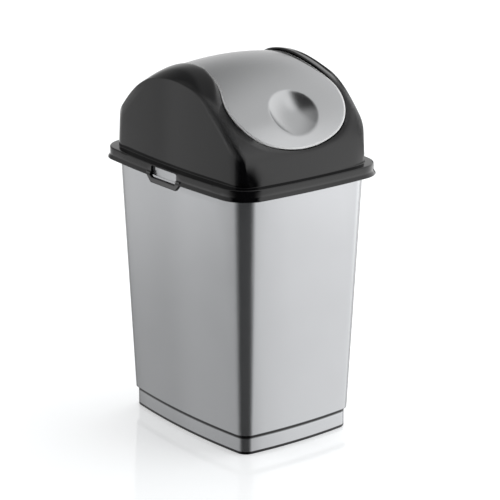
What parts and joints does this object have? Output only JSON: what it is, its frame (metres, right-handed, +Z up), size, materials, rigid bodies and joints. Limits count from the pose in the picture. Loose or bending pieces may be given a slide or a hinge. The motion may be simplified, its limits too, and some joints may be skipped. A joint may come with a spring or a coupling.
{
  "type": "swing-top waste bin",
  "caption": "Tall tapered waste bin with a lift-off glossy hood and a waisted self-closing swing flap with a round finger dish, turning on pivot pins.",
  "frame": {"origin": "centre of the footprint, at floor level", "axes": "+Z up; the front, with the finger dish in the flap, faces -Y; the flap's pivot axis runs along X"},
  "size_m": [0.1902, 0.2386, 0.3741],
  "materials": {
    "bucket_silver": "satin",
    "hood_black": "gloss",
    "flap_silver": "satin",
    "pin_black": "satin"
  },
  "bodies": {
    "bucket": {"bucket": "bucket_silver"},
    "lid": {"lid_hood": "hood_black"},
    "flap": {"swing_flap": "flap_silver", "left_pivot_pin": "pin_black", "right_pivot_pin": "pin_black"}
  },
  "joints": [
    {"name": "lid_lift", "type": "slide", "parent": "bucket", "child": "lid", "axis": [0, 0, 1], "range_m": [0, 0.15]},
    {"name": "flap_swing", "type": "hinge", "parent": "lid", "child": "flap", "pos_m": [0, 0, 0.3547], "axis": [1, 0, 0], "range_deg": [-60, 60]}
  ]
}
